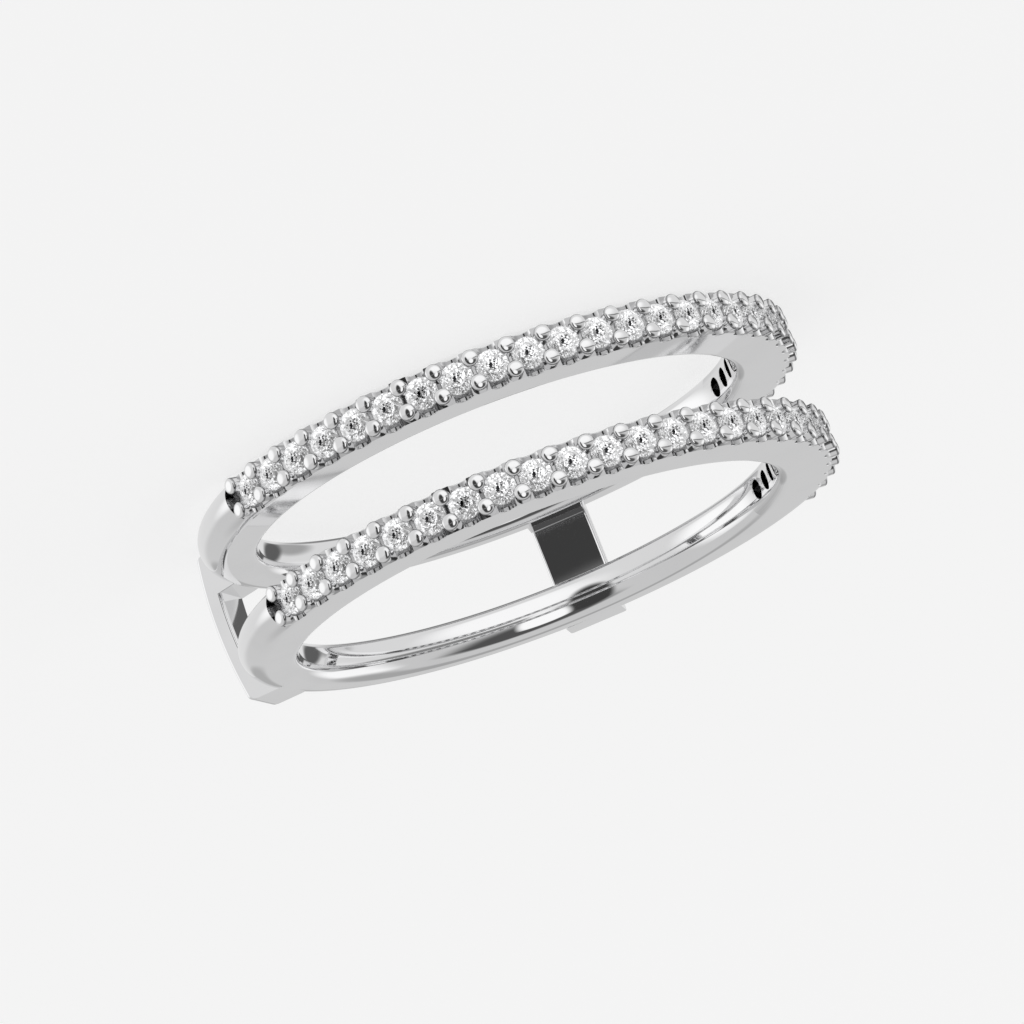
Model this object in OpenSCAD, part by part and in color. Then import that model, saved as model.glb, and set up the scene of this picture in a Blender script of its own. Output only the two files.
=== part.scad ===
/* [Finger hole] */
// Inside diameter of both bands
finger_d = 17.3; // [15.7:0.1:20.6]
// Rounding of the inner edges, for comfort
inner_round = 0.3; // [0.1:0.01:0.35]

/* [Bands] */
// Width of each band along the finger
band_w = 1.5; // [1.4:0.05:2]
// Distance between the centre planes of the two bands
band_spacing = 3.92; // [3.4:0.02:6]
// Thickness of the bands just past the stones
shoulder_t = 2.38; // [2.2:0.01:2.5]
// Thickness of the bands opposite the stones
bottom_t = 1.5; // [1.3:0.05:1.8]
// Thickness of the bands under the prongs
head_t = 1.97; // [1.9:0.01:2.1]

/* [Stones] */
// Number of stones in each band
stone_count = 25; // [15:1:29]
// Diameter of a stone at its girdle
stone_d = 1.13; // [0.9:0.01:1.13]
// Gap between the girdles of neighbouring stones
stone_gap = 0.1056; // [0.1:0.0002:0.2]
// Height of the girdle above the inner wall
girdle_height = 1.97; // [1.9:0.01:2.1]

/* [Setting] */
// Diameter of a prong and of its round tip
prong_d = 0.57; // [0.4:0.01:0.6]
// Height of the prong tips' centres above the inner wall
prong_height = 2.2; // [2.1:0.01:2.4]
// Distance between the two prongs of a row
prong_spacing = 0.86; // [0.8:0.01:0.9]
// Width of the scoop cut under each stone
scoop_w = 0.7; // [0.5:0.01:0.72]
// Depth left under the scoop
scoop_floor = 1.77; // [1.6:0.01:1.85]
// Diameter of the hole from each seat to the finger
hole_d = 0.7; // [0.4:0.01:0.74]
// Clearance around a stone in its seat
seat_gap = 0.03; // [0.02:0.01:0.05]

/* [Bridge bars] */
// Angle of the left bar from the middle of the stones, in degrees
left_bar_angle = 136.9; // [125:0.1:150]
// Angle of the right bar from the middle of the stones, in degrees
right_bar_angle = 140.7; // [125:0.1:150]
// Width of a bar along the band
bar_w = 2.15; // [1.6:0.05:3]
// Thickness of a bar
bar_t = 0.6; // [0.5:0.01:0.9]
// Outward bow of a bar between its ends
bar_bow = 0.24; // [0.05:0.01:0.4]
// Rounding of a bar's long edges
bar_round = 0.12; // [0.05:0.01:0.2]
// Rounding of a bar's outer corners at its ends
bar_end_round = 0.25; // [0.1:0.01:0.3]

/* [Hidden] */

// Radii of the bands
r_in = finger_d/2;
r_head = r_in + head_t;
r_shoulder = r_in + shoulder_t;
r_girdle = r_in + girdle_height;
r_prong = r_in + prong_height;
r_scoop_floor = r_in + scoop_floor;
r_bottom = r_in + bottom_t;
band_half = band_w/2;
ring_half = band_spacing/2 + band_half;

// The row of stones and the part of the band that carries it
stone_pitch = 2*asin((stone_d + stone_gap)/(2*r_girdle));
row_half_angle = stone_count*stone_pitch/2;
notch_angle = 1.7;
head_half_angle = row_half_angle + notch_angle;

// The outer circle of the bands, moved towards the stones so that the bands are thinner opposite them
outer_shift = (r_shoulder*r_shoulder - r_bottom*r_bottom)/(2*(r_bottom + r_shoulder*cos(head_half_angle)));
r_outer = r_bottom + outer_shift;

// Outer radius of the bands at an angle from the middle of the stones
function band_radius(angle) = outer_shift*cos(angle) + sqrt(pow(r_outer, 2) - pow(outer_shift*sin(angle), 2));

// Heights of a round brilliant as shares of its diameter
table_share = 0.56;
crown_share = 0.15;
girdle_share = 0.03;
pavilion_share = 0.43;
star_share = 0.32;
half_facet_share = 0.78;

// Smoothness of round cuts and of prongs
fine = 96;
round_fn = 32;

// Distance from the faces of a band to the solder under a bar
foot_inset = 0.02;

// How far the hole from the finger side reaches past the tip of a seat
hole_overlap = 0.033;

// Extra reach that lets a cut pass a face
past = 0.5;

// Places its children at an angle along the band, with their +Z pointing outwards
module around(angle) {
    rotate([0, 0, angle]) rotate([90, 0, 0]) children();
}

// A rectangle from [x0, y0] to [x1, y1] whose corners are rounded, by one radius at x0 and another at x1
module rounded_section(x0, x1, half, round0, round1) {
    translate([x0 + round0, -half]) square([x1 - x0 - round0 - round1, 2*half]);
    translate([x0, -half + round0]) square([round0 + round1, 2*(half - round0)]);
    translate([x1 - round1 - round0, -half + round1]) square([round0 + round1, 2*(half - round1)]);
    for (side = [-1, 1]) {
        translate([x0 + round0, side*(half - round0)]) circle(r = round0, $fn = round_fn);
        translate([x1 - round1, side*(half - round1)]) circle(r = round1, $fn = round_fn);
    }
}

// A disc whose rim is a full half round
module domed_disc(r) {
    rotate_extrude($fn = fine) {
        translate([0, -band_half]) square([r - band_half, band_w]);
        translate([r - band_half, 0]) circle(r = band_half, $fn = round_fn);
    }
}

// The plain band: rounded outside, thinnest opposite the stones, and cut down to the setting under them
module shank() {
    reach = r_outer + outer_shift + past;
    difference() {
        intersection() {
            rotate_extrude($fn = fine)
                rounded_section(r_in, reach, band_half, inner_round, inner_round);
            translate([0, -outer_shift, 0]) domed_disc(r_outer);
        }
        rotate([0, 0, -90 - head_half_angle])
            rotate_extrude(angle = 2*head_half_angle, $fn = fine)
                translate([r_head, -band_w]) square([reach - r_head, 2*band_w]);
    }
}

// A prong with a round tip, standing in the band
module prong() {
    root = r_scoop_floor - prong_d/2;
    translate([0, 0, root]) cylinder(d = prong_d, h = r_prong - root, $fn = round_fn);
    translate([0, 0, r_prong]) sphere(d = prong_d, $fn = round_fn);
}

// The scoop through both side faces under a stone
module scoop() {
    translate([0, -band_half - past, r_scoop_floor + scoop_w/2])
        rotate([-90, 0, 0]) cylinder(d = scoop_w, h = band_w + 2*past, $fn = round_fn);
}

// The notch between the last two prongs and the plain band
module end_notch() {
    notch_r = r_head*sin(notch_angle);
    translate([0, 0, r_scoop_floor]) cylinder(r = notch_r, h = r_prong - r_scoop_floor, $fn = round_fn);
}

// The tapered seat and the hole that lets light in from the finger side
module seat() {
    r = stone_d/2 + seat_gap;
    crown_h = crown_share*stone_d;
    pavilion_h = pavilion_share*stone_d;
    girdle_h = girdle_share*stone_d + 2*seat_gap;
    table_r = table_share*stone_d/2 + seat_gap;
    translate([0, 0, r_girdle - girdle_h/2]) {
        translate([0, 0, -pavilion_h]) cylinder(r1 = seat_gap, r2 = r, h = pavilion_h, $fn = round_fn);
        cylinder(r = r, h = girdle_h, $fn = round_fn);
        translate([0, 0, girdle_h]) cylinder(r1 = r, r2 = table_r, h = crown_h, $fn = round_fn);
    }
    tip = r_girdle - girdle_h/2 - pavilion_h;
    translate([0, 0, r_in - past]) cylinder(d = hole_d, h = tip + hole_overlap - r_in + past, $fn = round_fn);
}

// One band with its prongs and seats, its centre plane at z = 0
module band() {
    first = -(stone_count - 1)/2;
    difference() {
        union() {
            difference() {
                shank();
                for (i = [0 : stone_count - 1])
                    around((first + i)*stone_pitch) scoop();
                for (side = [-1, 1])
                    around(side*row_half_angle) end_notch();
            }
            for (k = [0 : stone_count])
                for (side = [-1, 1])
                    around((first + k - 0.5)*stone_pitch)
                        translate([0, side*prong_spacing/2, 0]) prong();
        }
        for (i = [0 : stone_count - 1])
            around((first + i)*stone_pitch) seat();
    }
}

// A bowed bar soldered across the outside of both bands
module bridge_bar(angle) {
    base = band_radius(angle);
    bow_r = (ring_half*ring_half + bar_bow*bar_bow)/(2*bar_bow);
    sweep = 2*asin((ring_half + past)/bow_r);
    intersection() {
        around(angle)
            translate([0, 0, base + bar_bow + bar_t - bow_r])
                rotate([0, 90, 0])
                    rotate([0, 0, 180 - sweep/2])
                        rotate_extrude(angle = sweep, $fn = fine)
                            rounded_section(bow_r - bar_t, bow_r, bar_w/2, bar_round, bar_round);
        around(angle)
            rotate([90, 0, 90]) linear_extrude(2*bar_w, center = true)
                bar_side(base + bar_t);
    }
    for (side = [-1, 1])
        translate([0, 0, side*band_spacing/2]) around(angle) bar_foot(base);
}

// The outline that trims a bar seen from its side, flush with the bands and rounded at its outer corners
module bar_side(top) {
    straight = ring_half - bar_end_round;
    square([2*ring_half, 2*(top - bar_end_round)], center = true);
    square([2*straight, 2*(top + bar_bow + past)], center = true);
    for (side = [-1, 1])
        translate([side*straight, top - bar_end_round]) circle(r = bar_end_round, $fn = round_fn);
}

// The solder that fills the space between a bar's end and the band under it
module bar_foot(base) {
    foot_w = bar_w - bar_round;
    translate([-foot_w/2, -band_half + foot_inset, base - band_half])
        cube([foot_w, band_w - 2*foot_inset, band_half + bar_t/2]);
}

// All the metal: two bands and two bars in one piece
module mounting() {
    color([0.80, 0.80, 0.82]) {
        for (side = [-1, 1])
            translate([0, 0, side*band_spacing/2]) band();
        bridge_bar(left_bar_angle);
        bridge_bar(-right_bar_angle);
    }
}

// A round brilliant with its girdle centred at z = 0 and its table outwards
module brilliant() {
    r = stone_d/2;
    table_r = table_share*r;
    girdle_half = girdle_share*stone_d/2;
    crown_h = crown_share*stone_d;
    pavilion_h = pavilion_share*stone_d;
    star_r = (table_r*(1 - star_share) + r*star_share)/cos(22.5);
    star_z = girdle_half + crown_h*(1 - star_share);
    half_r = r*(1 - half_facet_share)/cos(22.5);
    half_z = -girdle_half - pavilion_h*half_facet_share;
    table_ring = [for (i = [0 : 7]) [table_r*cos(45*i), table_r*sin(45*i), girdle_half + crown_h]];
    star_ring = [for (i = [0 : 7]) [star_r*cos(45*i + 22.5), star_r*sin(45*i + 22.5), star_z]];
    upper_ring = [for (i = [0 : 15]) [r*cos(22.5*i), r*sin(22.5*i), girdle_half]];
    lower_ring = [for (i = [0 : 15]) [r*cos(22.5*i), r*sin(22.5*i), -girdle_half]];
    half_ring = [for (i = [0 : 7]) [half_r*cos(45*i + 22.5), half_r*sin(45*i + 22.5), half_z]];
    culet = [[0, 0, -girdle_half - pavilion_h]];
    star0 = 8;
    upper0 = 16;
    lower0 = 32;
    half0 = 48;
    tip = 56;
    polyhedron(
        points = concat(table_ring, star_ring, upper_ring, lower_ring, half_ring, culet),
        faces = concat(
            [[for (i = [0 : 7]) 7 - i]],
            [for (i = [0 : 7]) [i, (i + 1)%8, star0 + i]],
            [for (i = [0 : 7]) [i, star0 + i, upper0 + 2*i]],
            [for (i = [0 : 7]) [i, upper0 + 2*i, star0 + (i + 7)%8]],
            [for (i = [0 : 7]) [star0 + i, upper0 + 2*i + 1, upper0 + 2*i]],
            [for (i = [0 : 7]) [star0 + i, upper0 + (2*i + 2)%16, upper0 + 2*i + 1]],
            [for (j = [0 : 15]) [upper0 + j, upper0 + (j + 1)%16, lower0 + (j + 1)%16]],
            [for (j = [0 : 15]) [upper0 + j, lower0 + (j + 1)%16, lower0 + j]],
            [for (i = [0 : 7]) [half0 + i, lower0 + 2*i, lower0 + 2*i + 1]],
            [for (i = [0 : 7]) [half0 + i, lower0 + 2*i + 1, lower0 + (2*i + 2)%16]],
            [for (i = [0 : 7]) [tip, lower0 + 2*i, half0 + i]],
            [for (i = [0 : 7]) [tip, half0 + (i + 7)%8, lower0 + 2*i]]
        )
    );
}

// The row of stones of one band, its centre plane at z = 0
module stone_row() {
    first = -(stone_count - 1)/2;
    for (i = [0 : stone_count - 1])
        around((first + i)*stone_pitch) translate([0, 0, r_girdle]) brilliant();
}

module upper_stones() {
    color([0.93, 0.95, 0.98]) translate([0, 0, band_spacing/2]) stone_row();
}

module lower_stones() {
    color([0.93, 0.95, 0.98]) translate([0, 0, -band_spacing/2]) stone_row();
}

mounting();
upper_stones();
lower_stones();
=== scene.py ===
"""Looks of a ring guard enhancer: two polished bands with rows of brilliants, and two bridge bars."""

import logging
import math
from dataclasses import dataclass, field
from enum import Enum

import bpy
import numpy as np
from mathutils import Matrix, Vector


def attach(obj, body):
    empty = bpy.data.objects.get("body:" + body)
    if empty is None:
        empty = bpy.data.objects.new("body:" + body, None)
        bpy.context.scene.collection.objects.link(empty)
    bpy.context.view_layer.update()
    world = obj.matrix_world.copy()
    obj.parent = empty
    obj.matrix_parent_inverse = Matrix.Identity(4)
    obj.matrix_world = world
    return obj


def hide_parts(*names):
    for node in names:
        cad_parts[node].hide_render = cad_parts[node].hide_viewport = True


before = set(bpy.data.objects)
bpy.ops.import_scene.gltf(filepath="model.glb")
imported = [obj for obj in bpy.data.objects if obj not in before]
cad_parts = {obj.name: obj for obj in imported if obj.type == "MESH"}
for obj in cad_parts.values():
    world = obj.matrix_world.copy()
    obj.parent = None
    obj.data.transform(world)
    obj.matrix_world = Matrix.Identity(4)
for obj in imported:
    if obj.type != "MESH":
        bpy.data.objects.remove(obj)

LOG = logging.getLogger("ring_guard")
MM = 0.001
PLACE = "place_in_stone"
# Face attribute with the metal's painted shade: 0 is the metal's own colour, 1 the painted shade tone.
PAINTED_SHADE = "crevice"


class Side(Enum):
    """The two bands, by the side of the middle plane that they are on."""

    UPPER = 1
    LOWER = -1


@dataclass(frozen=True)
class RingSizes:
    """Sizes of the ring in millimetres and degrees, as in the part's source.

    The slight crown of the inner walls is added here. The stone's proportions are shares of its diameter,
    but for the girdle, which is half its height as a share of the radius.
    """

    finger_d: float = 17.3
    crown_height: float = 0.06
    crown_half: float = 0.45
    band_w: float = 1.5
    band_spacing: float = 3.92
    shoulder_t: float = 2.38
    bottom_t: float = 1.5
    head_t: float = 1.97
    stone_count: int = 25
    stone_d: float = 1.13
    stone_gap: float = 0.1056
    stone_table: float = 0.56
    stone_crown: float = 0.15
    stone_girdle: float = 0.03
    stone_pavilion: float = 0.43
    girdle_height: float = 1.97
    notch_angle: float = 1.7

    @property
    def r_in(self) -> float:
        """Radius of the finger hole."""
        return self.finger_d / 2

    @property
    def crown_radius(self) -> float:
        """Radius, across the band, of the slightly bulging inner wall."""
        return (self.crown_half**2 + self.crown_height**2) / (2 * self.crown_height)

    @property
    def crown_tilt(self) -> float:
        """Slope of the inner wall where its rounded edges start, in radians."""
        return math.asin(self.crown_half / self.crown_radius)

    @property
    def edge_radius(self) -> float:
        """Radius of the rounded inner edges, which meet the wall and the side smoothly."""
        return (self.band_half - self.crown_half) / (1 - math.sin(self.crown_tilt))

    @property
    def edge_level(self) -> float:
        """Height of the centres of the rounded inner edges above the band's middle plane."""
        return self.band_half - self.edge_radius

    @property
    def edge_centre(self) -> float:
        """Distance of the centres of the rounded inner edges from the finger axis."""
        return self.r_in + self.crown_height + self.edge_radius * math.cos(self.crown_tilt)

    @property
    def r_head(self) -> float:
        """Radius of the metal under the prongs."""
        return self.r_in + self.head_t

    @property
    def r_girdle(self) -> float:
        """Radius at which the stones' girdles lie."""
        return self.r_in + self.girdle_height

    @property
    def band_half(self) -> float:
        """Half the width of a band, and the radius of its rounded back."""
        return self.band_w / 2

    @property
    def ring_half(self) -> float:
        """Half the height of the whole ring."""
        return self.band_spacing / 2 + self.band_half

    @property
    def pitch(self) -> float:
        """Angle between neighbouring stones, in degrees."""
        return math.degrees(2 * math.asin((self.stone_d + self.stone_gap) / (2 * self.r_girdle)))

    @property
    def row_half_angle(self) -> float:
        """Angle from the middle stone to the last pair of prongs, in degrees."""
        return self.stone_count * self.pitch / 2

    @property
    def head_half_angle(self) -> float:
        """Angle from the middle stone to the end of the setting, in degrees."""
        return self.row_half_angle + self.notch_angle

    @property
    def outer_shift(self) -> float:
        """How far the outer circle of the bands is moved towards the stones."""
        shoulder = self.r_in + self.shoulder_t
        bottom = self.r_in + self.bottom_t
        end = math.cos(math.radians(self.head_half_angle))
        return (shoulder**2 - bottom**2) / (2 * (bottom + shoulder * end))

    def back_radius(self, angle: np.ndarray) -> np.ndarray:
        """Radius of the rounded back of the bands.

        Args:
            angle: Angles from the middle stone, in radians.

        Returns:
            The radius at each angle, in millimetres.
        """
        shift = self.outer_shift
        r_outer = self.r_in + self.bottom_t + shift
        return shift * np.cos(angle) + np.sqrt(r_outer**2 - (shift * np.sin(angle)) ** 2)


SIZES = RingSizes()


def arc(
    centre: tuple[float, float], radius: float, start: float, end: float, steps: int
) -> list[tuple[float, float]]:
    """Points along a circular arc.

    Args:
        centre: Centre of the arc.
        radius: Radius of the arc.
        start: First angle in degrees.
        end: Last angle in degrees.
        steps: Number of straight steps.

    Returns:
        The points, both ends included.
    """
    turns = np.radians(np.linspace(start, end, steps + 1))
    return [(centre[0] + radius * math.cos(t), centre[1] + radius * math.sin(t)) for t in turns]


def tube_faces(rows: int, size: int, closed: bool = False, flip: bool = False) -> list[tuple[int, ...]]:
    """Faces between neighbouring rings of points, which are numbered ring by ring.

    Args:
        rows: Number of rings.
        size: Number of points in each ring.
        closed: Whether the last ring joins the first.
        flip: Whether the faces turn the other way.

    Returns:
        Four vertex numbers for each face.
    """
    faces: list[tuple[int, ...]] = []
    for j in range(rows if closed else rows - 1):
        a, b = j * size, (j + 1) % rows * size
        for i in range(size):
            k = (i + 1) % size
            faces.append((a + i, a + k, b + k, b + i) if flip else (a + i, b + i, b + k, a + k))
    return faces


def new_object(name: str, points: np.ndarray, faces: list[tuple[int, ...]]) -> bpy.types.Object:
    """Makes a mesh object that isn't linked to the scene.

    Args:
        name: Name of the object.
        points: Vertex positions in millimetres.
        faces: Vertex numbers of each face, turning outwards.

    Returns:
        The object.
    """
    mesh = bpy.data.meshes.new(name)
    mesh.from_pydata([tuple(p) for p in points], [], faces)
    mesh.validate()
    return bpy.data.objects.new(name, mesh)


def turned(name: str, profile: list[tuple[float, float]], steps: int) -> bpy.types.Object:
    """A solid of revolution about Z.

    Args:
        name: Name of the object.
        profile: Radius and height of each ring, from the lowest to the highest. The ends are closed flat.
        steps: Number of steps round the axis.

    Returns:
        The object.
    """
    turns = np.arange(steps) * 2 * math.pi / steps
    points = [(r * math.cos(t), r * math.sin(t), h) for r, h in profile for t in turns]
    points += [(0, 0, profile[0][1]), (0, 0, profile[-1][1])]
    low, high, last = len(points) - 2, len(points) - 1, (len(profile) - 1) * steps
    faces = tube_faces(len(profile), steps, flip=True)
    for i in range(steps):
        k = (i + 1) % steps
        faces += [(low, k, i), (high, last + i, last + k)]
    return new_object(name, np.array(points), faces)


class NodeTree:
    """Builds a node tree: each call adds one node, sets it up and links its inputs."""

    def __init__(self, tree: bpy.types.NodeTree) -> None:
        """Wraps a tree that is empty or has its own default nodes."""
        self.tree = tree

    def add(self, kind: str, settings: dict | None = None, inputs: dict | None = None) -> bpy.types.Node:
        """Adds a node.

        Args:
            kind: The node's type name.
            settings: Properties of the node, such as a Math node's operation, set first.
            inputs: Values or linked sockets by input name or number. A list links several.

        Returns:
            The node.
        """
        node = self.tree.nodes.new(kind)
        for name, value in (settings or {}).items():
            setattr(node, name, value)
        for key, value in (inputs or {}).items():
            socket = node.inputs[key]
            for one in value if isinstance(value, list) else [value]:
                one = one.socket if isinstance(one, Signal) else one
                if isinstance(one, bpy.types.NodeSocket):
                    self.tree.links.new(one, socket)
                else:
                    socket.default_value = one
        return node

    def dot(self, vector: bpy.types.NodeSocket, axis: Vector) -> "Signal":
        """The part of a vector that lies along a fixed axis.

        Args:
            vector: The vector.
            axis: Unit vector of the axis.

        Returns:
            The length of that part.
        """
        node = self.add("ShaderNodeVectorMath", {"operation": "DOT_PRODUCT"}, {0: vector, 1: axis})
        return Signal(self, node.outputs["Value"])

    def blend(self, share: "Signal", first: object, second: object) -> bpy.types.NodeSocket:
        """Mixes two colours.

        Args:
            share: How much of the second colour shows, from 0 to 1.
            first: A colour, as a socket or as three numbers.
            second: A colour, as a socket or as three numbers.

        Returns:
            The mixed colour.
        """
        ends = [one if isinstance(one, bpy.types.NodeSocket) else (*one, 1) for one in (first, second)]
        node = self.add("ShaderNodeMix", {"data_type": "RGBA"}, {0: share, 6: ends[0], 7: ends[1]})
        return node.outputs[2]


class Signal:
    """A number that travels through a node tree. Python's operators add Math nodes to it."""

    def __init__(self, nodes: NodeTree, socket: bpy.types.NodeSocket) -> None:
        """Wraps one output socket of a node in the tree."""
        self.nodes = nodes
        self.socket = socket

    def _math(self, operation: str, first: "Signal | float", second: "Signal | float") -> "Signal":
        """One Math node.

        Args:
            operation: Blender's name of the operation.
            first: First input.
            second: Second input.

        Returns:
            The result.
        """
        node = self.nodes.add("ShaderNodeMath", {"operation": operation}, {0: first, 1: second})
        return Signal(self.nodes, node.outputs[0])

    def __add__(self, other: "Signal | float") -> "Signal":
        """Sum."""
        return self._math("ADD", self, other)

    def __sub__(self, other: "Signal | float") -> "Signal":
        """Difference."""
        return self._math("SUBTRACT", self, other)

    def __rsub__(self, other: "Signal | float") -> "Signal":
        """Difference from a number."""
        return self._math("SUBTRACT", other, self)

    def __mul__(self, other: "Signal | float") -> "Signal":
        """Product."""
        return self._math("MULTIPLY", self, other)

    def __truediv__(self, other: "Signal | float") -> "Signal":
        """Quotient."""
        return self._math("DIVIDE", self, other)

    def most(self, other: "Signal | float") -> "Signal":
        """The larger of the two."""
        return self._math("MAXIMUM", self, other)

    def rise(self, start: float, end: float) -> "Signal":
        """A smooth step.

        Args:
            start: Where it is 0.
            end: Where it is 1.

        Returns:
            The step's value.
        """
        node = self.nodes.add(
            "ShaderNodeMapRange",
            {"interpolation_type": "SMOOTHSTEP"},
            {"Value": self, "From Min": start, "From Max": end},
        )
        return Signal(self.nodes, node.outputs[0])


def evaluate(carrier: bpy.types.Object, name: str) -> bpy.types.Mesh:
    """Evaluates an object's modifiers into a plain mesh.

    Args:
        carrier: The object, which needn't be linked to the scene.
        name: Name of the mesh.

    Returns:
        The mesh.
    """
    bpy.context.scene.collection.objects.link(carrier)
    bpy.context.view_layer.update()
    graph = bpy.context.evaluated_depsgraph_get()
    mesh = bpy.data.meshes.new_from_object(carrier.evaluated_get(graph), depsgraph=graph)
    mesh.name = name
    bpy.context.scene.collection.objects.unlink(carrier)
    return mesh


class ParametricTree(NodeTree):
    """A Geometry Nodes tree with named inputs, run once on an object."""

    def __init__(self, name: str) -> None:
        """Makes the tree with its geometry in and out."""
        super().__init__(bpy.data.node_groups.new(name, "GeometryNodeTree"))
        self.tree.interface.new_socket("Geometry", in_out="INPUT", socket_type="NodeSocketGeometry")
        self.tree.interface.new_socket("Geometry", in_out="OUTPUT", socket_type="NodeSocketGeometry")
        self.values: dict[str, object] = {}

    def input(self, name: str, kind: str, value: object) -> None:
        """Declares a named input.

        Args:
            name: The input's name.
            kind: Socket type, such as NodeSocketFloat.
            value: The value that the modifier gets.
        """
        socket = self.tree.interface.new_socket(name, in_out="INPUT", socket_type=kind)
        self.values[socket.identifier] = value

    def start(self) -> dict[str, bpy.types.NodeSocket]:
        """Adds the group input.

        Returns:
            Its sockets by name.
        """
        node = self.add("NodeGroupInput")
        return {s.name: s for s in node.outputs if s.name}

    def row(
        self,
        count: bpy.types.NodeSocket,
        pitch: bpy.types.NodeSocket,
        instance: bpy.types.NodeSocket,
        height: bpy.types.NodeSocket,
        flip: float = 1.0,
    ) -> bpy.types.NodeSocket:
        """Instances along a band, with their +Z outwards and their +Y along the finger.

        Args:
            count: Number of instances.
            pitch: Angle between two of them, in radians.
            instance: The geometry that is repeated.
            height: Height of the band's middle plane.
            flip: 1, or -1 for the other band.

        Returns:
            The instances.
        """
        index = Signal(self, self.add("GeometryNodeInputIndex").outputs[0])
        place = self.add("ShaderNodeCombineXYZ", inputs={"Z": Signal(self, height) * flip})
        points = self.add("GeometryNodePoints", inputs={"Count": count, "Position": place.outputs[0]})
        turn = (index - (Signal(self, count) - 1.0) * 0.5) * Signal(self, pitch)
        euler = self.add("ShaderNodeCombineXYZ", inputs={"X": math.pi / 2, "Z": turn})
        rotation = self.add("FunctionNodeEulerToRotation", inputs={0: euler.outputs[0]})
        placed = self.add(
            "GeometryNodeInstanceOnPoints",
            inputs={"Points": points.outputs[0], "Instance": instance, "Rotation": rotation.outputs[0]},
        )
        return placed.outputs[0]

    def object_geometry(self, socket: bpy.types.NodeSocket) -> bpy.types.NodeSocket:
        """Reads the geometry of an object.

        Args:
            socket: The input that gives the object.

        Returns:
            Its geometry.
        """
        return self.add("GeometryNodeObjectInfo", inputs={"Object": socket}).outputs["Geometry"]

    def boolean(
        self, operation: str, first: bpy.types.NodeSocket | None, others: list[bpy.types.NodeSocket]
    ) -> bpy.types.NodeSocket:
        """Cuts or joins meshes.

        Args:
            operation: DIFFERENCE or UNION.
            first: The mesh that is cut, or None.
            others: The meshes and instances that cut or join it.

        Returns:
            The result.
        """
        inputs = {"Mesh 2": others} | ({"Mesh 1": first} if first is not None else {})
        node = self.add("GeometryNodeMeshBoolean", {"operation": operation, "solver": "MANIFOLD"}, inputs)
        return node.outputs[0]

    def finish(self, geometry: bpy.types.NodeSocket, material: bpy.types.NodeSocket) -> None:
        """Ends the tree in Realize Instances and Set Material."""
        real = self.add("GeometryNodeRealizeInstances", inputs={"Geometry": geometry})
        dressed = self.add(
            "GeometryNodeSetMaterial", inputs={"Geometry": real.outputs[0], "Material": material}
        )
        self.add("NodeGroupOutput", inputs={0: dressed.outputs[0]})

    def run(self, carrier: bpy.types.Object, name: str) -> bpy.types.Mesh:
        """Runs the tree on an object and gives the plain mesh.

        Args:
            carrier: The object whose mesh goes in.
            name: Name of the new mesh.

        Returns:
            The mesh, in the carrier's units.
        """
        modifier = carrier.modifiers.new(self.tree.name, "NODES")
        modifier.node_group = self.tree
        for identifier, value in self.values.items():
            modifier[identifier] = value
        mesh = evaluate(carrier, name)
        carrier.modifiers.remove(modifier)
        return mesh


def piece_from(mesh: bpy.types.Mesh, name: str, node: str) -> None:
    """Puts a finished mesh into the scene as a piece that stands for a CAD node.

    Args:
        mesh: The mesh, in millimetres.
        name: Name of the piece.
        node: The CAD node that it replaces.
    """
    mesh.transform(Matrix.Scale(MM, 4))
    piece = bpy.data.objects.new(name, mesh)
    bpy.context.scene.collection.objects.link(piece)
    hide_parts(node)
    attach(piece, "root")
    LOG.info("%s: %d faces, stands for %s", name, len(mesh.polygons), node)


@dataclass(frozen=True)
class PolishedGold:
    """High-polish white metal, faintly uneven from hand work, with painted shade in its crevices, round the
    domes' feet and on the pads.
    """

    tone: tuple[float, float, float] = (0.86, 0.86, 0.865)
    worn_tone: tuple[float, float, float] = (0.81, 0.81, 0.815)
    # Painted shade: the colour the metal takes where shade and dark reflections fall in the setting.
    painted_shade_tone: tuple[float, float, float] = (0.16, 0.16, 0.165)
    roughness: float = 0.035
    haze: float = 0.03
    worn_share: float = 0.5
    cloud_scale: float = 420.0
    cloud_detail: float = 3.0
    cloud_levels: tuple[float, float] = (0.42, 0.75)

    def build(self) -> bpy.types.Material:
        """Makes the material."""
        material = bpy.data.materials.new("polished_white_gold")
        material.use_nodes = True
        nodes = NodeTree(material.node_tree)
        shader = material.node_tree.nodes["Principled BSDF"]
        coords = nodes.add("ShaderNodeTexCoord").outputs["Object"]
        cloud = nodes.add(
            "ShaderNodeTexNoise",
            inputs={"Vector": coords, "Scale": self.cloud_scale, "Detail": self.cloud_detail},
        )
        haze = Signal(nodes, cloud.outputs[0]).rise(*self.cloud_levels)
        # Painted shade: the colour goes towards the painted shade tone as the face attribute says.
        crevice = Signal(nodes, nodes.add("ShaderNodeAttribute", {"attribute_name": PAINTED_SHADE}).outputs["Fac"])
        worn = nodes.blend(haze * self.worn_share, self.tone, self.worn_tone)
        nodes.tree.links.new(nodes.blend(crevice, worn, self.painted_shade_tone), shader.inputs["Base Color"])
        nodes.tree.links.new((haze * self.haze + self.roughness).socket, shader.inputs["Roughness"])
        shader.inputs["Metallic"].default_value = 1.0
        return material


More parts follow.
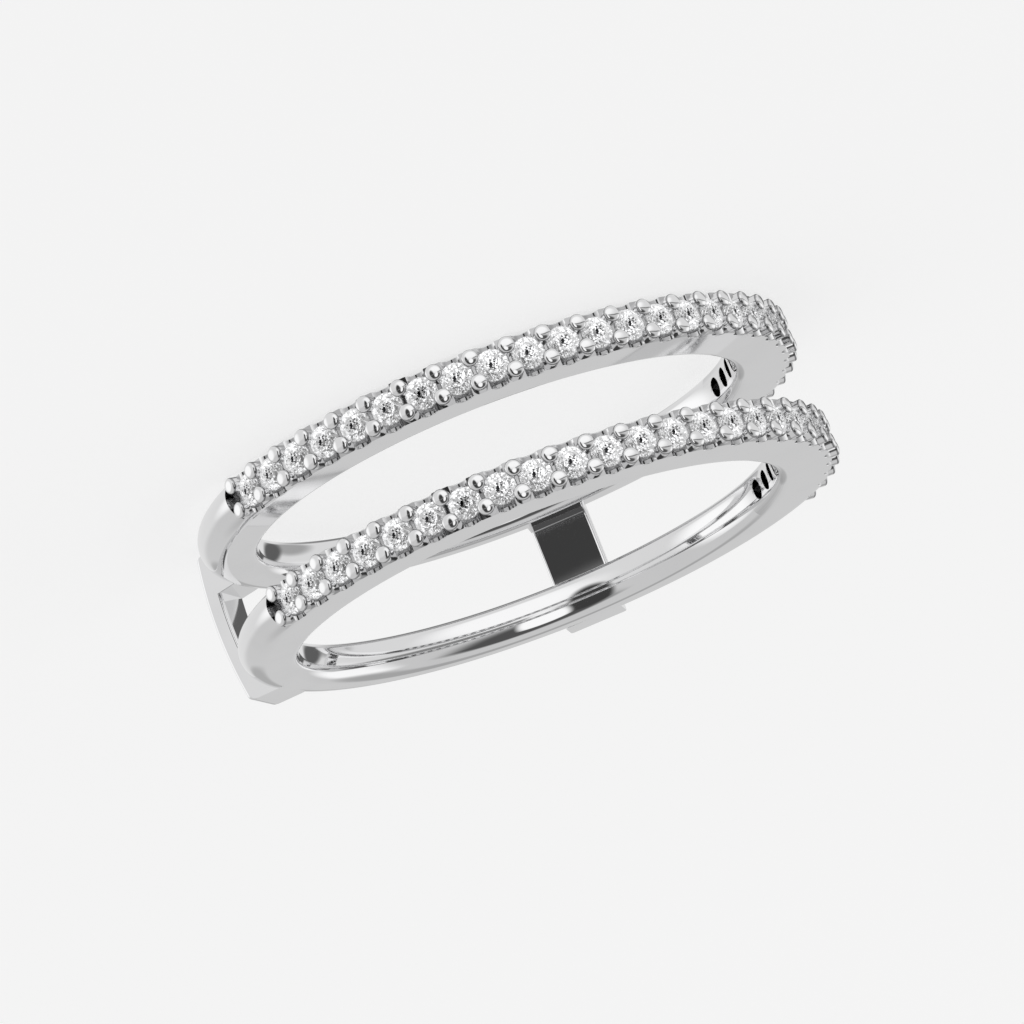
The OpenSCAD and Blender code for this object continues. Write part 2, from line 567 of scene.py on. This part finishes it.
@dataclass(frozen=True)
class ClearBrilliant:
    """Colourless cut stone, bright all over from a painted glow, with painted dark reflections as flecks
    under its table.

    Places in the stone are shares of its radius, so the girdle's edge is at 1 from the axis.
    """

    tone: tuple[float, float, float] = (0.98, 0.985, 1.0)
    # Painted dark reflections: the colour of the flecks, which are dark and mirror-like.
    dark_reflection_tone: tuple[float, float, float] = (0.02, 0.02, 0.022)
    ior: float = 2.42
    # Painted glow that brightens the whole stone, though it is no lamp.
    painted_glow: float = 0.12
    dark_reflection_scale: float = 9.0
    dark_reflection_zone: float = 0.52
    dark_reflection_middle: float = 0.1
    dark_reflection_levels: tuple[float, float] = (0.935, 0.955)
    middle_bonus: float = 0.45
    outer_strength: float = 0.6
    # Painted dark outline at the girdle.
    rim_shade: float = 0.8
    rim_levels: tuple[float, float] = (0.86, 0.96)
    # Painted shade on the pavilion.
    below_shade: float = 0.35
    below_levels: tuple[float, float] = (-0.02, -0.06)

    def build(self) -> bpy.types.Material:
        """Makes the material."""
        material = bpy.data.materials.new("clear_brilliant")
        material.use_nodes = True
        nodes = NodeTree(material.node_tree)
        shader = material.node_tree.nodes["Principled BSDF"]
        place = nodes.add("ShaderNodeAttribute", {"attribute_name": PLACE}).outputs["Vector"]
        parts = nodes.add("ShaderNodeSeparateXYZ", inputs={0: place})
        across, along = (Signal(nodes, parts.outputs[name]) for name in "XY")
        reach = across * across + along * along
        cells = nodes.add(
            "ShaderNodeTexVoronoi", {"voronoi_dimensions": "2D"}, {"Vector": place, "Scale": self.dark_reflection_scale}
        )
        draw = nodes.add("ShaderNodeSeparateXYZ", inputs={0: cells.outputs["Color"]})
        # Painted dark reflections as flecks, most of them in the middle of the table.
        middle = reach.rise(self.dark_reflection_zone**2, self.dark_reflection_middle**2)
        chance = Signal(nodes, draw.outputs["X"]) + middle * self.middle_bonus
        strength = middle * (1 - self.outer_strength) + self.outer_strength
        dark_reflection = chance.rise(*self.dark_reflection_levels) * strength
        # Painted dark outline at the girdle.
        rim = reach.rise(*self.rim_levels) * self.rim_shade
        dark = dark_reflection.most(rim)
        # Painted shade on the pavilion, below the girdle.
        below = Signal(nodes, parts.outputs["Z"]).rise(*self.below_levels) * self.below_shade
        colour = nodes.blend(dark.most(below), self.tone, self.dark_reflection_tone)
        nodes.tree.links.new(colour, shader.inputs["Base Color"])
        # Painted glow: the stone glows white except at its painted dark marks.
        nodes.tree.links.new(nodes.blend(dark, (1, 1, 1), (0, 0, 0)), shader.inputs["Emission Color"])
        nodes.tree.links.new(dark_reflection.socket, shader.inputs["Metallic"])
        shader.inputs["Emission Strength"].default_value = self.painted_glow
        shader.inputs["Roughness"].default_value = 0.0
        shader.inputs["IOR"].default_value = self.ior
        shader.inputs["Transmission Weight"].default_value = 1.0
        return material


@dataclass
class Band:
    """One plain band: comfort-rounded inside, flat at the sides and rounded at the back."""

    sizes: RingSizes
    side: Side
    turns: int = 360
    back_steps: int = 32
    edge_steps: int = 8
    wall_steps: int = 6
    head_steps: int = 170
    head_reach: float = 6.0
    head_margin: float = 0.3

    def blank(self) -> bpy.types.Object:
        """The band before the setting is cut into it.

        Returns:
            A closed mesh in millimetres.
        """
        s = self.sizes
        angles = np.radians(np.arange(self.turns) * 360 / self.turns)
        centre = s.back_radius(angles) - s.band_half
        tilt = math.degrees(s.crown_tilt)
        low = arc((s.edge_centre, -s.edge_level), s.edge_radius, 180 + tilt, 270, self.edge_steps)
        high = arc((s.edge_centre, s.edge_level), s.edge_radius, 90, 180 - tilt, self.edge_steps)
        wall = arc((s.r_in + s.crown_radius, 0), s.crown_radius, 180 - tilt, 180 + tilt, self.wall_steps)
        back = arc((0, 0), s.band_half, -90, 90, self.back_steps)
        rows = []
        for angle, r_back in zip(angles, centre):
            section = low + [(r_back + r, z) for r, z in back] + high + wall[1:-1]
            rows.append([(r * math.sin(angle), -r * math.cos(angle), z) for r, z in section])
        points = np.array(rows).reshape(-1, 3)
        points[:, 2] += self.side.value * s.band_spacing / 2
        faces = tube_faces(self.turns, len(rows[0]), closed=True)
        return new_object(f"blank_{self.side.name.lower()}", points, faces)

    def head_cut(self) -> bpy.types.Object:
        """The block that is cut away above the setting.

        Returns:
            A closed mesh in millimetres.
        """
        s = self.sizes
        half = math.radians(s.head_half_angle)
        angles = np.linspace(-half, half, self.head_steps + 1)
        reach, width = s.r_in + self.head_reach, s.band_half + self.head_margin
        corners = [(s.r_head, -width), (reach, -width), (reach, width), (s.r_head, width)]
        points = [(r * math.sin(a), -r * math.cos(a), z) for a in angles for r, z in corners]
        ends = [(0, 1, 2, 3), tuple(4 * len(angles) - 1 - i for i in range(4))]
        faces = ends + tube_faces(len(angles), len(corners))
        cut = new_object(f"head_cut_{self.side.name.lower()}", np.array(points), faces)
        cut.data.transform(Matrix.Translation((0, 0, self.side.value * s.band_spacing / 2)))
        return cut


@dataclass
class Setting:
    """Prongs, scoops and seats that repeat along a band.

    Heights are measured outwards from the finger hole's wall. An overrun is how far a cutter sticks out.
    The prong's dome is a superellipse, with a ring of points at each of the dome angles.
    """

    sizes: RingSizes
    prong_d: float = 0.57
    prong_height: float = 2.2
    prong_dome: float = 0.1425
    prong_fullness: float = 2.5
    prong_spacing: float = 0.86
    prong_root: float = 0.1
    dome_angles: tuple[float, ...] = (0, 4, 10, 18, 28, 39, 50, 61, 71, 80, 86.5)
    scoop_w: float = 0.7
    scoop_floor: float = 1.77
    scoop_overrun: float = 0.4
    hole_d: float = 0.7
    hole_overrun: float = 0.5
    notch_top: float = 3.2
    seat_gap: float = 0.012
    edge: float = 0.03
    edge_steps: int = 4
    scoop_steps: int = 48
    seat_steps: int = 40
    prong_steps: int = 32

    def eased(self) -> list[tuple[float, float]]:
        """How far each point of an eased rim lies outwards and below the lip, from foot to lip."""
        turns = np.radians(np.linspace(0, 90, self.edge_steps + 1))
        return [(self.edge * (1 - math.cos(t)), self.edge * (1 - math.sin(t))) for t in turns]

    def scoop(self) -> bpy.types.Object:
        """Cutter for the scoop through both sides of the band, with eased rims."""
        s, r = self.sizes, self.scoop_w / 2
        upper = [(r + out, s.band_half - below) for out, below in self.eased()]
        upper.append((r + self.edge, s.band_half + self.scoop_overrun))
        cut = turned("scoop_cut", [(a, -h) for a, h in reversed(upper)] + upper, self.scoop_steps)
        cut.data.transform(Matrix.Rotation(math.pi / 2, 4, "X"))
        cut.data.transform(Matrix.Translation((0, 0, s.r_in + self.scoop_floor + r)))
        return cut

    def seat(self) -> bpy.types.Object:
        """Cutter for the hole from the finger side and the tapered seat above it."""
        s, r, hole = self.sizes, self.sizes.stone_d / 2 + self.seat_gap, self.hole_d / 2
        girdle = s.stone_girdle * s.stone_d / 2 + self.seat_gap
        slope = s.stone_pavilion * s.stone_d / r
        table, crown = s.stone_table / 2 * s.stone_d, s.stone_crown * s.stone_d
        profile = [(hole + self.edge, s.r_in - self.hole_overrun)]
        # A quarter circle mirrors onto itself, so with its two offsets swapped it runs from lip to foot.
        profile += [(hole + out, s.r_in + below) for below, out in self.eased()]
        profile += [(hole, s.r_girdle - girdle - (r - hole) * slope), (r, s.r_girdle - girdle)]
        profile += [(r, s.r_girdle + girdle), (table, s.r_girdle + girdle + crown)]
        return turned("seat_cut", profile, self.seat_steps)

    def notch(self) -> bpy.types.Object:
        """Cutter for the recess between the last two prongs and the plain band."""
        s = self.sizes
        radius = s.r_head * math.sin(math.radians(s.notch_angle))
        ends = [(radius, s.r_in + self.scoop_floor), (radius, s.r_in + self.notch_top)]
        return turned("notch_cut", ends, self.seat_steps)

    def prong_pair(self) -> bpy.types.Object:
        """The two prongs of a row, each a pin with a low domed tip."""
        s, r = self.sizes, self.prong_d / 2
        base, power = s.r_in + self.prong_height, 2 / self.prong_fullness
        dome = [(r * math.cos(t) ** power, base + self.prong_dome * math.sin(t) ** power)
                for t in np.radians(self.dome_angles)]
        profile = [(r, s.r_in + self.scoop_floor - self.prong_root), *dome]
        pin = turned("pin", profile, self.prong_steps).data
        points = np.array([v.co for v in pin.vertices])
        faces = [tuple(f.vertices) for f in pin.polygons]
        shift = np.array([0, self.prong_spacing / 2, 0])
        both = np.concatenate([points - shift, points + shift])
        second = [tuple(v + len(points) for v in f) for f in faces]
        return new_object("prong_pair", both, faces + second)


@dataclass
class BridgeBar:
    """A bowed bar across the backs of both bands, its ends flush with their sides.

    Over each band its underside drops into the metal, so that bar and band join.
    """

    sizes: RingSizes
    angle: float
    width: float = 2.15
    thickness: float = 0.6
    bow: float = 0.24
    edge: float = 0.12
    end_round: float = 0.25
    foot_start: float = 0.12
    half_steps: int = 20
    end_steps: int = 6
    edge_steps: int = 6

    def rows(self) -> list[tuple[float, float, float]]:
        """Place along the finger, bottom and top of each cross-section, from the middle out."""
        s = self.sizes
        base = float(s.back_radius(np.array([math.radians(self.angle)]))[0])
        half = s.ring_half
        bow_r = (half * half + self.bow * self.bow) / (2 * self.bow)
        gap_half = s.band_spacing / 2 - s.band_half

        def top(y: float) -> float:
            """Outer face of the bowed bar at a place along the finger."""
            return base + self.bow + self.thickness - bow_r + math.sqrt(bow_r**2 - y**2)

        straight = half - self.end_round
        places = list(np.linspace(0, straight, self.half_steps + 1))
        rows = [(y, top(y) - self.thickness, top(y)) for y in places]
        for t in np.radians(np.linspace(0, 90, self.end_steps + 1))[1:]:
            y = straight + self.end_round * math.sin(t)
            rows.append((y, top(y) - self.thickness, top(straight) - self.end_round * (1 - math.cos(t))))
        foot = base - s.band_half
        inside = gap_half + self.foot_start
        return [(y, foot if y > inside else low, high) for y, low, high in rows]

    def build(self) -> bpy.types.Object:
        """The bar as a closed mesh in millimetres."""
        rows = self.rows()
        rows = [(-y, low, high) for y, low, high in reversed(rows[1:])] + rows
        half, e = self.width / 2, self.edge
        points = []
        for y, low, high in rows:
            right, left, over, under = half - e, -(half - e), high - e, low + e
            corners = [(right, over), (left, over), (left, under), (right, under)]
            for number, centre in enumerate(corners):
                corner = arc(centre, e, 90 * number, 90 * number + 90, self.edge_steps)
                points += [(x, y, z) for x, z in corner]
        m = len(points) // len(rows)
        ends = [tuple(range(m - 1, -1, -1)), tuple((len(rows) - 1) * m + i for i in range(m))]
        faces = ends + tube_faces(len(rows), m, flip=True)
        bar = new_object("bridge_bar", np.array(points), [tuple(reversed(f)) for f in faces])
        turn = Matrix.Rotation(math.radians(self.angle), 4, "Z") @ Matrix.Rotation(math.pi / 2, 4, "X")
        bar.data.transform(turn)
        return bar


@dataclass
class Mounting:
    """All the metal as one piece: two bands with their settings, and two bars.

    The shares say how much of the painted shade tone the scoops, the feet of the domes and the flat pads
    between
    the prongs take: painted shade in the scoops, a painted dark outline round the domes and painted grey
    shade on the pads, and hole_light how much less of it the holes take. The surface values say when a corner
    counts as lying on an exact surface, and surface_off is added to a distance to rule a surface out.
    """

    sizes: RingSizes
    finish: PolishedGold = field(default_factory=PolishedGold)
    left_bar_angle: float = 136.9
    right_bar_angle: float = 140.7
    sharp_angle: float = 28.0
    face_weight: int = 80
    surface_reach: float = 0.004
    surface_slack: float = 0.002
    surface_facing: float = 0.97
    surface_off: float = 9.0
    # How much painted shade each part of the setting takes.
    pit_share: float = 0.65
    pit_start: float = 0.03
    pit_depth: float = 0.1
    pit_overrun: float = 1.0
    hole_light: float = 0.5
    foot_share: float = 0.75
    foot_height: float = 0.085
    foot_fade: float = 0.03
    pad_share: float = 0.5
    pad_slack: float = 0.01

    def tree(self, material: bpy.types.Material) -> ParametricTree:
        """The tree that joins bands and bars, cuts the settings and adds the prongs.

        Args:
            material: The metal's finish.

        Returns:
            The tree, which is run on the upper band's blank.
        """
        s, setting = self.sizes, Setting(self.sizes)
        tree = ParametricTree("mounting_maker")
        tree.input("Stones", "NodeSocketInt", s.stone_count)
        tree.input("Prong rows", "NodeSocketInt", s.stone_count + 1)
        tree.input("Pitch", "NodeSocketFloat", math.radians(s.pitch))
        tree.input("Row angle", "NodeSocketFloat", math.radians(2 * s.row_half_angle))
        tree.input("Band height", "NodeSocketFloat", s.band_spacing / 2)
        solids = {
            "Lower blank": Band(s, Side.LOWER).blank(),
            "Upper head cut": Band(s, Side.UPPER).head_cut(),
            "Lower head cut": Band(s, Side.LOWER).head_cut(),
            "Left bar": BridgeBar(s, self.left_bar_angle).build(),
            "Right bar": BridgeBar(s, -self.right_bar_angle).build(),
            "Scoop": setting.scoop(),
            "Seat": setting.seat(),
            "Notch": setting.notch(),
            "Prongs": setting.prong_pair(),
        }
        for name, solid in solids.items():
            tree.input(name, "NodeSocketObject", solid)
        tree.input("Metal", "NodeSocketMaterial", material)
        given = tree.start()
        shape = {name: tree.object_geometry(given[name]) for name in solids}
        body = tree.boolean(
            "UNION", None, [given["Geometry"], shape["Lower blank"], shape["Left bar"], shape["Right bar"]]
        )
        cuts = [shape["Upper head cut"], shape["Lower head cut"]]
        prongs = []
        two = tree.add("FunctionNodeInputInt", {"integer": 2}).outputs[0]
        for side in Side:
            height, flip = given["Band height"], float(side.value)
            for name in ("Scoop", "Seat"):
                cuts.append(tree.row(given["Stones"], given["Pitch"], shape[name], height, flip))
            cuts.append(tree.row(two, given["Row angle"], shape["Notch"], height, flip))
            prongs.append(tree.row(given["Prong rows"], given["Pitch"], shape["Prongs"], height, flip))
        cut = tree.boolean("DIFFERENCE", body, cuts)
        joined = tree.add("GeometryNodeJoinGeometry", inputs={0: [cut, *prongs]})
        tree.finish(joined.outputs[0], given["Metal"])
        return tree

    def weighted_normals(self, mesh: bpy.types.Mesh) -> np.ndarray:
        """Marks the sharp edges and averages the normals between them by the faces' areas.

        Args:
            mesh: The joined mesh.

        Returns:
            A normal for each face corner.
        """
        mesh.shade_smooth()
        mesh.set_sharp_from_angle(angle=math.radians(self.sharp_angle))
        carrier = bpy.data.objects.new("polish", mesh)
        weighting = carrier.modifiers.new("weighting", "WEIGHTED_NORMAL")
        weighting.mode = "FACE_AREA"
        weighting.weight = self.face_weight
        weighting.keep_sharp = True
        weighted = evaluate(carrier, "weighted")
        normals = np.empty(len(mesh.loops) * 3, np.float32)
        weighted.corner_normals.foreach_get("vector", normals)
        bpy.data.meshes.remove(weighted)
        return normals.reshape(-1, 3).astype(float)

    def surfaces(self, points: np.ndarray) -> list[tuple[np.ndarray, np.ndarray]]:
        """The exact surfaces of a band: rounded back, rounded inner edge, crowned inner wall and flat side.

        Args:
            points: Places near them, in millimetres.

        Returns:
            For each surface, every place's distance from it and the normal there.
        """
        s, slack, off = self.sizes, self.surface_slack, self.surface_off
        x, y, z = points.T
        radius, angle = np.hypot(x, y), np.arctan2(x, -y)
        out = np.stack([np.sin(angle), -np.cos(angle), np.zeros_like(x)], 1)
        along = np.stack([np.cos(angle), np.sin(angle), np.zeros_like(x)], 1)
        level = z - np.sign(z) * s.band_spacing / 2
        step = 1e-4
        back = s.back_radius(angle) - s.band_half
        slope = (s.back_radius(angle + step) - s.back_radius(angle - step)) / (2 * step)
        up = np.zeros_like(out)
        up[:, 2] = 1

        def tilted(r: np.ndarray, t: np.ndarray, h: np.ndarray) -> np.ndarray:
            """Unit vectors from their radial, tangential and axial parts."""
            v = out * r[:, None] + along * t[:, None] + up * h[:, None]
            return v / np.maximum(np.linalg.norm(v, axis=1), 1e-9)[:, None]

        rise = radius - back
        drop, reach = radius - s.edge_centre, np.abs(level) - s.edge_level
        crown = radius - s.r_in - s.crown_radius
        nothing = np.zeros_like(x)
        past_edge = (drop > slack) | (np.abs(level) < s.crown_half)
        past_crown = np.abs(level) > s.crown_half + slack
        past_side = (drop < -slack) | (rise > slack)
        return [
            (np.abs(np.hypot(rise, level) - s.band_half) + off * (rise < -slack),
             tilted(rise, -rise * slope / radius, level)),
            (np.abs(np.hypot(drop, reach) - s.edge_radius) + off * past_edge,
             tilted(drop, nothing, reach * np.sign(level))),
            (np.abs(np.hypot(crown, level) - s.crown_radius) + off * past_crown,
             tilted(crown, nothing, level)),
            (np.abs(np.abs(level) - s.band_half) + off * past_side,
             up * np.sign(level)[:, None]),
        ]

    def polish(self, mesh: bpy.types.Mesh) -> None:
        """Gives each corner the exact normal of its surface, so that reflections run smoothly.

        Args:
            mesh: The joined mesh, in millimetres.
        """
        normals = self.weighted_normals(mesh)
        corner = np.empty(len(mesh.loops), int)
        mesh.loops.foreach_get("vertex_index", corner)
        points = np.array([v.co for v in mesh.vertices])[corner]
        flat = np.array([f.normal for f in mesh.polygons])
        facing = np.repeat(flat, [f.loop_total for f in mesh.polygons], axis=0)
        limit = np.full(len(points), self.surface_reach)
        for distance, normal in self.surfaces(points):
            chosen = (distance < limit) & ((normal * facing).sum(1) > self.surface_facing)
            normals[chosen] = normal[chosen]
            limit[chosen] = distance[chosen]
        mesh.normals_split_custom_set([tuple(n) for n in normals])

    def mark_painted_shade(self, mesh: bpy.types.Mesh) -> None:
        """Stores each face's painted shade: deep in the setting, round the domes' feet and on the pads.

        Args:
            mesh: The joined mesh, in millimetres.
        """
        s, setting = self.sizes, Setting(self.sizes)
        x, y, z = np.array([f.center for f in mesh.polygons]).T
        height = np.hypot(x, y) - s.r_in
        angle = np.degrees(np.abs(np.arctan2(x, -y)))
        side = s.band_half - np.abs(np.abs(z) - s.band_spacing / 2)
        depth = np.minimum(np.minimum(s.head_t - height, side), height)
        # Painted shade deep in the scoops and seats, less in the holes.
        pit = np.clip((depth - self.pit_start) / self.pit_depth, 0, 1)
        pit *= angle < s.head_half_angle + self.pit_overrun
        # Painted dark outline round the feet of the prongs' domes, standing in for dark reflections.
        foot = np.clip((setting.prong_height + self.foot_height - height) / self.foot_fade, 0, 1)
        foot *= self.foot_share * (angle < s.head_half_angle)
        hole = 1 - self.hole_light * (height < s.head_t / 2)
        crevice = np.where(height > s.head_t + self.pad_slack, foot, pit * hole * self.pit_share)
        # Painted grey shade on the flat pads between the prongs.
        pad = (np.abs(height - s.head_t) < self.pad_slack) & (angle < s.head_half_angle)
        crevice[pad] = self.pad_share
        layer = mesh.attributes.new(PAINTED_SHADE, "FLOAT", "FACE")
        layer.data.foreach_set("value", crevice.astype(np.float32))

    def build(self) -> None:
        """Makes the metal and puts it in the scene."""
        material = self.finish.build()
        mesh = self.tree(material).run(Band(self.sizes, Side.UPPER).blank(), "ring_metal")
        self.mark_painted_shade(mesh)
        self.polish(mesh)
        piece_from(mesh, "ring_metal", "mounting")


@dataclass
class StoneRow:
    """The row of round brilliants of one band.

    Star and half_facet say how far the star facets reach across the crown and the lower half facets down the
    pavilion. Each stone is turned a little about its own axis.
    """

    sizes: RingSizes
    side: Side
    node: str
    star: float = 0.5
    half_facet: float = 0.78
    turn: float = 11.0

    def brilliant(self) -> bpy.types.Object:
        """One round brilliant with its 57 facets and its girdle, as a closed mesh in millimetres."""
        s, r = self.sizes, self.sizes.stone_d / 2
        table_r, girdle = s.stone_table * r, s.stone_girdle * r
        crown_h, pavilion_h = s.stone_crown * 2 * r, s.stone_pavilion * 2 * r
        star_r = (table_r * (1 - self.star) + r * self.star) / math.cos(math.pi / 8)
        star_z = girdle + crown_h * (1 - self.star)
        half_r = r * (1 - self.half_facet) / math.cos(math.pi / 8)
        half_z = -girdle - pavilion_h * self.half_facet

        def ring(count: int, radius: float, z: float, start: float) -> list[tuple[float, float, float]]:
            """Points round the stone."""
            turns = [start + 2 * math.pi * i / count for i in range(count)]
            return [(radius * math.cos(t), radius * math.sin(t), z) for t in turns]

        points = ring(8, table_r, girdle + crown_h, 0) + ring(8, star_r, star_z, math.pi / 8)
        points += ring(16, r, girdle, 0) + ring(16, r, -girdle, 0)
        points += ring(8, half_r, half_z, math.pi / 8) + [(0, 0, -girdle - pavilion_h)]
        # First vertex of each ring after the table's, and the vertex at the bottom.
        star0, upper0, lower0, half0, tip = 8, 16, 32, 48, 56
        faces: list[tuple[int, ...]] = [tuple(range(8))]
        for i in range(8):
            after, before = (i + 1) % 8, (i + 7) % 8
            far = upper0 + (2 * i + 2) % 16
            faces.append((i, star0 + i, after))
            faces.append((i, star0 + before, upper0 + 2 * i, star0 + i))
            faces.append((star0 + i, upper0 + 2 * i, upper0 + 2 * i + 1))
            faces.append((star0 + i, upper0 + 2 * i + 1, far))
            faces.append((half0 + i, lower0 + 2 * i + 1, lower0 + 2 * i))
            faces.append((half0 + i, lower0 + (2 * i + 2) % 16, lower0 + 2 * i + 1))
            faces.append((tip, half0 + i, lower0 + 2 * i, half0 + before))
        for j in range(16):
            k = (j + 1) % 16
            faces.append((upper0 + j, lower0 + j, lower0 + k, upper0 + k))
        stone = new_object("brilliant", np.array(points), faces)
        stone.data.transform(Matrix.Rotation(math.radians(self.turn), 4, "Z"))
        stone.data.transform(Matrix.Translation((0, 0, s.r_girdle)))
        return stone

    def build(self, material: bpy.types.Material) -> None:
        """Makes the row of stones and puts it in the scene.

        Args:
            material: The stones' finish.
        """
        s = self.sizes
        tree = ParametricTree(f"{self.node}_maker")
        tree.input("Stones", "NodeSocketInt", s.stone_count)
        tree.input("Pitch", "NodeSocketFloat", math.radians(s.pitch))
        tree.input("Band height", "NodeSocketFloat", self.side.value * s.band_spacing / 2)
        tree.input("Stone material", "NodeSocketMaterial", material)
        given = tree.start()
        share = 2 / s.stone_d
        position = tree.add("GeometryNodeInputPosition").outputs[0]
        place = tree.add(
            "ShaderNodeVectorMath",
            {"operation": "MULTIPLY_ADD"},
            {0: position, 1: (share, share, share), 2: (0, 0, -share * s.r_girdle)},
        )
        marked = tree.add(
            "GeometryNodeStoreNamedAttribute",
            {"data_type": "FLOAT_VECTOR"},
            {"Geometry": given["Geometry"], "Name": PLACE, "Value": place.outputs[0]},
        )
        rows = tree.row(given["Stones"], given["Pitch"], marked.outputs[0], given["Band height"])
        tree.finish(rows, given["Stone material"])
        mesh = tree.run(self.brilliant(), f"{self.node}_cut")
        mesh.shade_flat()
        piece_from(mesh, f"{self.node}_cut", self.node)


@dataclass(frozen=True)
class Panel:
    """An oval part of the light tent, lighter or darker than the rest. Its angles are in degrees."""

    azimuth: float
    elevation: float
    half_width: float
    half_height: float
    softness: float
    level: float
    front_fade: float = 0.1

    def axes(self) -> tuple[Vector, Vector, Vector]:
        """Directions towards the panel's middle, across it and up it, seen from the ring."""
        azimuth, elevation = math.radians(self.azimuth), math.radians(self.elevation)
        across = Vector((math.cos(azimuth), math.sin(azimuth), 0))
        flat = math.cos(elevation)
        towards = Vector((math.sin(azimuth) * flat, -math.cos(azimuth) * flat, math.sin(elevation)))
        return towards, across, towards.cross(across)

    def share(self, nodes: NodeTree, direction: bpy.types.NodeSocket) -> Signal:
        """How much of the panel is seen in a direction.

        Args:
            nodes: The world's tree.
            direction: The direction that is looked in.

        Returns:
            A share from 0 to 1.
        """
        front, across, up = (nodes.dot(direction, axis) for axis in self.axes())
        across = across / math.sin(math.radians(self.half_width))
        up = up / math.sin(math.radians(self.half_height))
        distance = across * across + up * up
        inside = distance.rise((1 + self.softness) ** 2, (1 - self.softness) ** 2)
        return inside * front.rise(0, self.front_fade)


@dataclass
class Studio:
    """Camera, pale floor and soft studio light. Angles are in degrees and lengths in metres.

    The camera stands where the photograph's does, seen from the ring, and centre_px is how far the ring's
    origin lies from the picture's middle. Each panel of the tent lies over those before it.
    """

    azimuth: float = 32.232
    elevation: float = 13.4619
    roll: float = 158.4774
    distance: float = 0.19484
    focal_px: float = 5717.98
    centre_px: tuple[float, float] = (0.5523, -9.4354)
    frame_px: int = 1024
    sensor_mm: float = 36.0
    clip_range: tuple[float, float] = (0.01, 5.0)
    floor_half: float = 2.0
    floor_tone: float = 0.35
    floor_roughness: float = 0.9
    floor_glow: float = 0.688
    tent: float = 0.64
    under: float = 0.78
    horizon: tuple[float, float] = (-0.12, 0.1)
    panels: tuple[Panel, ...] = (
        Panel(12, -30, 36, 21, 0.4, 1.08),
        Panel(128, -14, 25, 22, 0.35, 1.12),
        Panel(-84, 16, 27, 19, 0.4, 1.08),
        Panel(-102, -25, 15, 9, 0.4, 0.4),
        Panel(-117, -15, 10, 9, 0.3, 0.12),
        Panel(-135, -48, 18, 16, 0.4, 0.22),
        Panel(-128, 48, 38, 15, 0.4, 0.42),
        Panel(-159, 7, 8, 6, 0.4, 0.45),
        Panel(18, 30, 38, 27, 0.25, 0.09),
        Panel(50, 3, 11, 27, 0.2, 0.05),
        Panel(-20, -5, 85, 3, 0.4, 0.25),
        Panel(26, 11, 12.5, 18, 0.2, 1.1),
    )

    def camera(self) -> None:
        """Puts the camera at the photograph's angle."""
        azimuth, elevation, roll = (math.radians(a) for a in (self.azimuth, self.elevation, self.roll))
        flat = math.cos(elevation)
        back = Vector((math.sin(azimuth) * flat, -math.cos(azimuth) * flat, math.sin(elevation)))
        right = Vector((math.cos(azimuth), math.sin(azimuth), 0))
        up = back.cross(right)
        turned_right = right * math.cos(roll) + up * math.sin(roll)
        turned_up = up * math.cos(roll) - right * math.sin(roll)
        data = bpy.data.cameras.new("camera")
        data.sensor_fit = "HORIZONTAL"
        data.sensor_width = self.sensor_mm
        data.lens = self.focal_px * data.sensor_width / self.frame_px
        data.shift_x = -self.centre_px[0] / self.frame_px
        data.shift_y = self.centre_px[1] / self.frame_px
        data.clip_start, data.clip_end = self.clip_range
        camera = bpy.data.objects.new("camera", data)
        rotation = Matrix((turned_right, turned_up, back)).transposed().to_4x4()
        camera.matrix_world = Matrix.Translation(back * self.distance) @ rotation
        bpy.context.scene.collection.objects.link(camera)
        bpy.context.scene.camera = camera

    def floor(self, sizes: RingSizes) -> None:
        """Lays a plain pale floor under the ring.

        Args:
            sizes: The ring's sizes, which give the floor's height.
        """
        material = bpy.data.materials.new("pale_floor")
        material.use_nodes = True
        shader = material.node_tree.nodes["Principled BSDF"]
        shader.inputs["Base Color"].default_value = (self.floor_tone,) * 3 + (1,)
        shader.inputs["Roughness"].default_value = self.floor_roughness
        shader.inputs["Emission Color"].default_value = (1, 1, 1, 1)
        shader.inputs["Emission Strength"].default_value = self.floor_glow
        z, half = -sizes.ring_half * MM, self.floor_half
        corners = [(-half, -half, z), (half, -half, z), (half, half, z), (-half, half, z)]
        mesh = bpy.data.meshes.new("floor")
        mesh.from_pydata(corners, [], [(0, 1, 2, 3)])
        mesh.materials.append(material)
        floor = bpy.data.objects.new("floor", mesh)
        bpy.context.scene.collection.objects.link(floor)
        floor.visible_glossy = False
        floor.visible_transmission = False

    def light(self) -> None:
        """Lights the scene with a soft white tent that has a few darker gaps."""
        world = bpy.data.worlds.new("tent")
        bpy.context.scene.world = world
        world.use_nodes = True
        nodes = NodeTree(world.node_tree)
        direction = nodes.add("ShaderNodeTexCoord").outputs["Generated"]
        height = nodes.add("ShaderNodeSeparateXYZ", inputs={0: direction})
        rise = Signal(nodes, height.outputs["Z"]).rise(*self.horizon)
        level = rise * (self.tent - self.under) + self.under
        for panel in self.panels:
            level = panel.share(nodes, direction) * (panel.level - level) + level
        background = world.node_tree.nodes["Background"]
        background.inputs["Strength"].default_value = 1.0
        world.node_tree.links.new(level.socket, background.inputs["Color"])
        bpy.context.scene.view_settings.view_transform = "Standard"


def main() -> None:
    """Builds the pieces in order, dresses them and lights them."""
    logging.basicConfig(level=logging.INFO, format="%(message)s")
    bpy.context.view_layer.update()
    studio = Studio()
    studio.camera()
    studio.floor(SIZES)
    studio.light()
    Mounting(SIZES).build()
    brilliance = ClearBrilliant().build()
    StoneRow(SIZES, Side.UPPER, "upper_stones").build(brilliance)
    StoneRow(SIZES, Side.LOWER, "lower_stones").build(brilliance)


if __name__ == "__main__":
    main()
